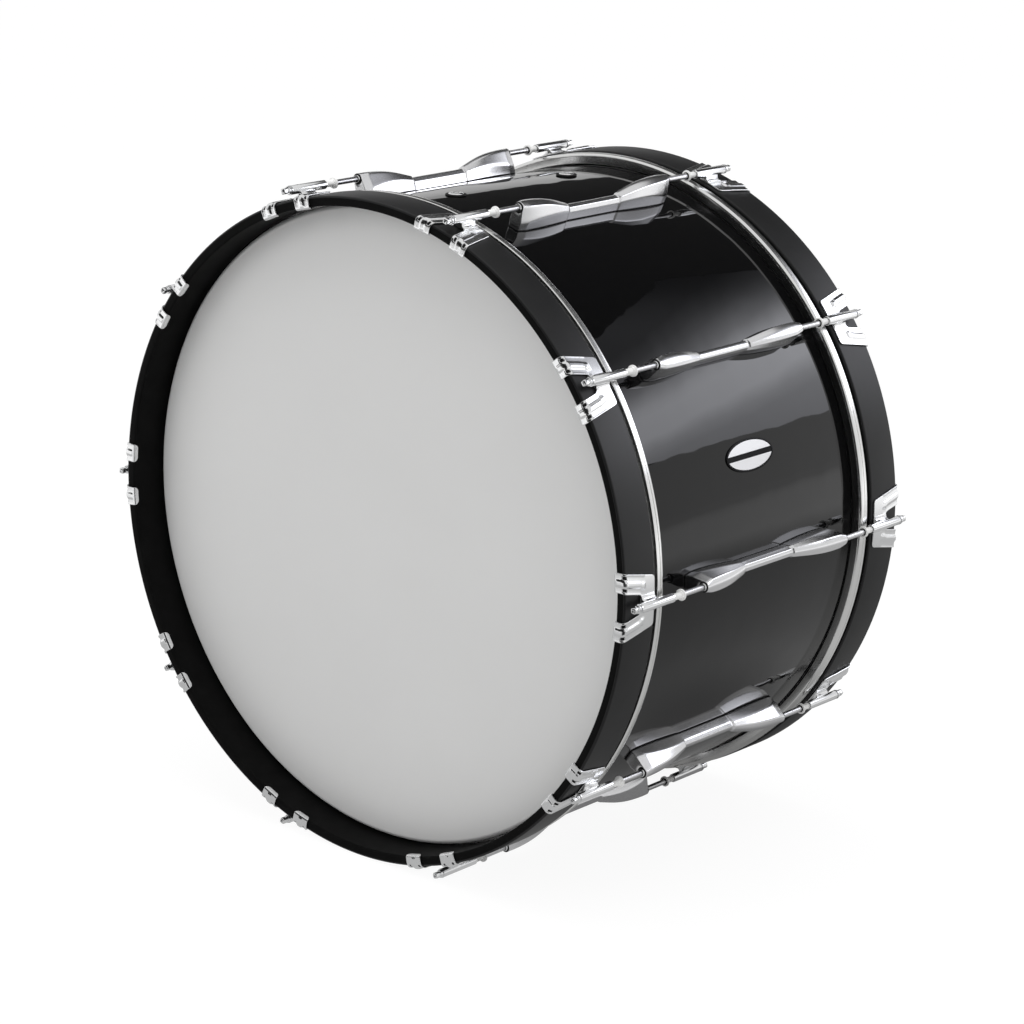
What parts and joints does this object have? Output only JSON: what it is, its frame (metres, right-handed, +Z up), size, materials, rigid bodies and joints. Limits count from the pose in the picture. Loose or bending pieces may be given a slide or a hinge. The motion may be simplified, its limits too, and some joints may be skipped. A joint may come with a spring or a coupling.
{
  "type": "marching bass drum",
  "caption": "Large cylinder drum with a head at each end, wooden hoops held by claws and key tension rods, and through lugs along a glossy shell",
  "frame": {"origin": "On the floor under the middle of the drum, at the bottom centre of its bounding box, where the two wooden hoops rest", "axes": "Y runs along the drum's axis with the front head towards -Y, Z points up through the two carrier fittings, and X points to the side that the badge is on"},
  "size_m": [0.6632, 0.419, 0.634],
  "materials": {
    "shell_lacquer": "maple plies under deep gloss black lacquer",
    "hoop_paint": "maple plies under satin black paint",
    "head_film": "smooth white polyester film",
    "flesh_hoop_metal": "bright drawn aluminium",
    "lug_metal": "polished aluminium casting",
    "chrome": "bright chrome plate",
    "badge_plate": "satin plate with a dark rim and band"
  },
  "bodies": {
    "drum": {"shell": "shell_lacquer", "front_head_film": "head_film", "rear_head_film": "head_film", "front_flesh_hoop": "flesh_hoop_metal", "rear_flesh_hoop": "flesh_hoop_metal", "front_carrier_fitting": "chrome", "rear_carrier_fitting": "chrome", "badge": "badge_plate", "lug_1": "lug_metal", "lug_2": "lug_metal", "lug_3": "lug_metal", "lug_4": "lug_metal", "lug_5": "lug_metal", "lug_6": "lug_metal", "lug_7": "lug_metal", "lug_8": "lug_metal", "lug_9": "lug_metal", "lug_10": "lug_metal"},
    "front_hoop_set": {"front_hoop": "hoop_paint", "front_claw_1": "chrome", "front_claw_2": "chrome", "front_claw_3": "chrome", "front_claw_4": "chrome", "front_claw_5": "chrome", "front_claw_6": "chrome", "front_claw_7": "chrome", "front_claw_8": "chrome", "front_claw_9": "chrome", "front_claw_10": "chrome"},
    "rear_hoop_set": {"rear_hoop": "hoop_paint", "rear_claw_1": "chrome", "rear_claw_2": "chrome", "rear_claw_3": "chrome", "rear_claw_4": "chrome", "rear_claw_5": "chrome", "rear_claw_6": "chrome", "rear_claw_7": "chrome", "rear_claw_8": "chrome", "rear_claw_9": "chrome", "rear_claw_10": "chrome"},
    "front_rod_1": {"front_tension_rod_1": "chrome"},
    "front_rod_2": {"front_tension_rod_2": "chrome"},
    "front_rod_3": {"front_tension_rod_3": "chrome"},
    "front_rod_4": {"front_tension_rod_4": "chrome"},
    "front_rod_5": {"front_tension_rod_5": "chrome"},
    "front_rod_6": {"front_tension_rod_6": "chrome"},
    "front_rod_7": {"front_tension_rod_7": "chrome"},
    "front_rod_8": {"front_tension_rod_8": "chrome"},
    "front_rod_9": {"front_tension_rod_9": "chrome"},
    "front_rod_10": {"front_tension_rod_10": "chrome"},
    "rear_rod_1": {"rear_tension_rod_1": "chrome"},
    "rear_rod_2": {"rear_tension_rod_2": "chrome"},
    "rear_rod_3": {"rear_tension_rod_3": "chrome"},
    "rear_rod_4": {"rear_tension_rod_4": "chrome"},
    "rear_rod_5": {"rear_tension_rod_5": "chrome"},
    "rear_rod_6": {"rear_tension_rod_6": "chrome"},
    "rear_rod_7": {"rear_tension_rod_7": "chrome"},
    "rear_rod_8": {"rear_tension_rod_8": "chrome"},
    "rear_rod_9": {"rear_tension_rod_9": "chrome"},
    "rear_rod_10": {"rear_tension_rod_10": "chrome"}
  },
  "joints": [
    {"name": "front_hoop_slide", "type": "slide", "parent": "drum", "child": "front_hoop_set", "axis": [0, -1, 0], "range_m": [0, 0.0127]},
    {"name": "front_rod_turn_1", "type": "hinge", "parent": "front_hoop_set", "child": "front_rod_1", "pos_m": [0.1008, -0.16, 0.62723], "axis": [0, -1, 0], "range_deg": [0, 4321]},
    {"name": "front_rod_turn_2", "type": "hinge", "parent": "front_hoop_set", "child": "front_rod_2", "pos_m": [0.2639, -0.16, 0.50874], "axis": [0, -1, 0], "range_deg": [0, 4321]},
    {"name": "front_rod_turn_3", "type": "hinge", "parent": "front_hoop_set", "child": "front_rod_3", "pos_m": [0.3262, -0.16, 0.317], "axis": [0, -1, 0], "range_deg": [0, 4321]},
    {"name": "front_rod_turn_4", "type": "hinge", "parent": "front_hoop_set", "child": "front_rod_4", "pos_m": [0.2639, -0.16, 0.12526], "axis": [0, -1, 0], "range_deg": [0, 4321]},
    {"name": "front_rod_turn_5", "type": "hinge", "parent": "front_hoop_set", "child": "front_rod_5", "pos_m": [0.1008, -0.16, 0.00677], "axis": [0, -1, 0], "range_deg": [0, 4321]},
    {"name": "front_rod_turn_6", "type": "hinge", "parent": "front_hoop_set", "child": "front_rod_6", "pos_m": [-0.1008, -0.16, 0.00677], "axis": [0, -1, 0], "range_deg": [0, 4321]},
    {"name": "front_rod_turn_7", "type": "hinge", "parent": "front_hoop_set", "child": "front_rod_7", "pos_m": [-0.2639, -0.16, 0.12526], "axis": [0, -1, 0], "range_deg": [0, 4321]},
    {"name": "front_rod_turn_8", "type": "hinge", "parent": "front_hoop_set", "child": "front_rod_8", "pos_m": [-0.3262, -0.16, 0.317], "axis": [0, -1, 0], "range_deg": [0, 4321]},
    {"name": "front_rod_turn_9", "type": "hinge", "parent": "front_hoop_set", "child": "front_rod_9", "pos_m": [-0.2639, -0.16, 0.50874], "axis": [0, -1, 0], "range_deg": [0, 4321]},
    {"name": "front_rod_turn_10", "type": "hinge", "parent": "front_hoop_set", "child": "front_rod_10", "pos_m": [-0.1008, -0.16, 0.62723], "axis": [0, -1, 0], "range_deg": [0, 4321]},
    {"name": "rear_hoop_slide", "type": "slide", "parent": "drum", "child": "rear_hoop_set", "axis": [0, 1, 0], "range_m": [0, 0.0127]},
    {"name": "rear_rod_turn_1", "type": "hinge", "parent": "rear_hoop_set", "child": "rear_rod_1", "pos_m": [0.1008, 0.16, 0.62723], "axis": [0, 1, 0], "range_deg": [0, 4321]},
    {"name": "rear_rod_turn_2", "type": "hinge", "parent": "rear_hoop_set", "child": "rear_rod_2", "pos_m": [0.2639, 0.16, 0.50874], "axis": [0, 1, 0], "range_deg": [0, 4321]},
    {"name": "rear_rod_turn_3", "type": "hinge", "parent": "rear_hoop_set", "child": "rear_rod_3", "pos_m": [0.3262, 0.16, 0.317], "axis": [0, 1, 0], "range_deg": [0, 4321]},
    {"name": "rear_rod_turn_4", "type": "hinge", "parent": "rear_hoop_set", "child": "rear_rod_4", "pos_m": [0.2639, 0.16, 0.12526], "axis": [0, 1, 0], "range_deg": [0, 4321]},
    {"name": "rear_rod_turn_5", "type": "hinge", "parent": "rear_hoop_set", "child": "rear_rod_5", "pos_m": [0.1008, 0.16, 0.00677], "axis": [0, 1, 0], "range_deg": [0, 4321]},
    {"name": "rear_rod_turn_6", "type": "hinge", "parent": "rear_hoop_set", "child": "rear_rod_6", "pos_m": [-0.1008, 0.16, 0.00677], "axis": [0, 1, 0], "range_deg": [0, 4321]},
    {"name": "rear_rod_turn_7", "type": "hinge", "parent": "rear_hoop_set", "child": "rear_rod_7", "pos_m": [-0.2639, 0.16, 0.12526], "axis": [0, 1, 0], "range_deg": [0, 4321]},
    {"name": "rear_rod_turn_8", "type": "hinge", "parent": "rear_hoop_set", "child": "rear_rod_8", "pos_m": [-0.3262, 0.16, 0.317], "axis": [0, 1, 0], "range_deg": [0, 4321]},
    {"name": "rear_rod_turn_9", "type": "hinge", "parent": "rear_hoop_set", "child": "rear_rod_9", "pos_m": [-0.2639, 0.16, 0.50874], "axis": [0, 1, 0], "range_deg": [0, 4321]},
    {"name": "rear_rod_turn_10", "type": "hinge", "parent": "rear_hoop_set", "child": "rear_rod_10", "pos_m": [-0.1008, 0.16, 0.62723], "axis": [0, 1, 0], "range_deg": [0, 4321]}
  ],
  "couplings": [
    {"joint": "front_rod_turn_1", "follows": "front_hoop_slide", "rad_per_m": 5936.9},
    {"joint": "front_rod_turn_2", "follows": "front_hoop_slide", "rad_per_m": 5936.9},
    {"joint": "front_rod_turn_3", "follows": "front_hoop_slide", "rad_per_m": 5936.9},
    {"joint": "front_rod_turn_4", "follows": "front_hoop_slide", "rad_per_m": 5936.9},
    {"joint": "front_rod_turn_5", "follows": "front_hoop_slide", "rad_per_m": 5936.9},
    {"joint": "front_rod_turn_6", "follows": "front_hoop_slide", "rad_per_m": 5936.9},
    {"joint": "front_rod_turn_7", "follows": "front_hoop_slide", "rad_per_m": 5936.9},
    {"joint": "front_rod_turn_8", "follows": "front_hoop_slide", "rad_per_m": 5936.9},
    {"joint": "front_rod_turn_9", "follows": "front_hoop_slide", "rad_per_m": 5936.9},
    {"joint": "front_rod_turn_10", "follows": "front_hoop_slide", "rad_per_m": 5936.9},
    {"joint": "rear_rod_turn_1", "follows": "rear_hoop_slide", "rad_per_m": 5936.9},
    {"joint": "rear_rod_turn_2", "follows": "rear_hoop_slide", "rad_per_m": 5936.9},
    {"joint": "rear_rod_turn_3", "follows": "rear_hoop_slide", "rad_per_m": 5936.9},
    {"joint": "rear_rod_turn_4", "follows": "rear_hoop_slide", "rad_per_m": 5936.9},
    {"joint": "rear_rod_turn_5", "follows": "rear_hoop_slide", "rad_per_m": 5936.9},
    {"joint": "rear_rod_turn_6", "follows": "rear_hoop_slide", "rad_per_m": 5936.9},
    {"joint": "rear_rod_turn_7", "follows": "rear_hoop_slide", "rad_per_m": 5936.9},
    {"joint": "rear_rod_turn_8", "follows": "rear_hoop_slide", "rad_per_m": 5936.9},
    {"joint": "rear_rod_turn_9", "follows": "rear_hoop_slide", "rad_per_m": 5936.9},
    {"joint": "rear_rod_turn_10", "follows": "rear_hoop_slide", "rad_per_m": 5936.9}
  ]
}
